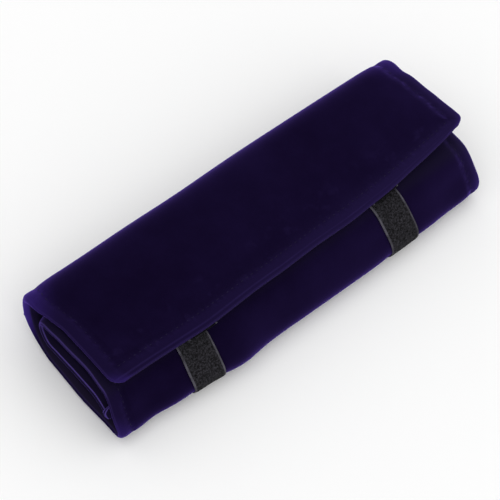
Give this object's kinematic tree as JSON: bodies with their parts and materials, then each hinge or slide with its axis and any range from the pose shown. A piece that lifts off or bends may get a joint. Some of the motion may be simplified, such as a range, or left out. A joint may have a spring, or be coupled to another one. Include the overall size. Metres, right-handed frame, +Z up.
{
  "type": "jewelry roll",
  "caption": "Padded velvet jewelry roll, rolled up into a flattened spiral, with a flap over the top held by hook and loop tapes.",
  "frame": {"origin": "on the surface that the roll lies on, under the centre of its bounding box", "axes": "+X along the roll, +Y from the tape side to the back, +Z up"},
  "size_m": [0.264, 0.094, 0.0437],
  "materials": {
    "velvet": "dark indigo velvet, short pile with a sheen at grazing angles",
    "lining": "dark indigo velvet lining",
    "foam": "soft foam sheet, cream",
    "loop_pile": "black brushed loop tape with a woven selvedge",
    "hook_pile": "black hook tape",
    "zip_cloth": "dark woven zip tape with a coil chain",
    "zip_metal": "plated zip slider"
  },
  "bodies": {
    "roll_body": {"body_shell": "velvet", "body_lining": "lining", "inner_end_pad": "foam", "inner_base_pad": "foam", "middle_pad": "foam", "front_pad": "foam", "bottom_pad": "foam", "left_loop_tape": "loop_pile", "right_loop_tape": "loop_pile", "lower_pocket": "lining", "upper_pocket": "lining", "lower_zip": "zip_cloth", "upper_zip": "zip_cloth"},
    "back_panel": {"back_shell": "velvet", "back_lining": "lining", "back_pad": "foam"},
    "flap_panel": {"flap_shell": "velvet", "flap_lining": "lining", "flap_pad": "foam", "left_hook_tape": "hook_pile", "right_hook_tape": "hook_pile"},
    "lower_slider": {"lower_zip_slider": "zip_metal"},
    "upper_slider": {"upper_zip_slider": "zip_metal"}
  },
  "joints": [
    {"name": "back_fold", "type": "hinge", "parent": "roll_body", "child": "back_panel", "pos_m": [0, 0.03297, 0.0058], "axis": [-1, 0, 0], "range_deg": [0, 60]},
    {"name": "flap_fold", "type": "hinge", "parent": "back_panel", "child": "flap_panel", "pos_m": [0, 0.04656, 0.03205], "axis": [-1, 0, 0], "range_deg": [0, 110]},
    {"name": "lower_zip_travel", "type": "slide", "parent": "roll_body", "child": "lower_slider", "axis": [-1, 0, 0], "range_m": [0, 0.18]},
    {"name": "upper_zip_travel", "type": "slide", "parent": "roll_body", "child": "upper_slider", "axis": [-1, 0, 0], "range_m": [0, 0.18]}
  ]
}
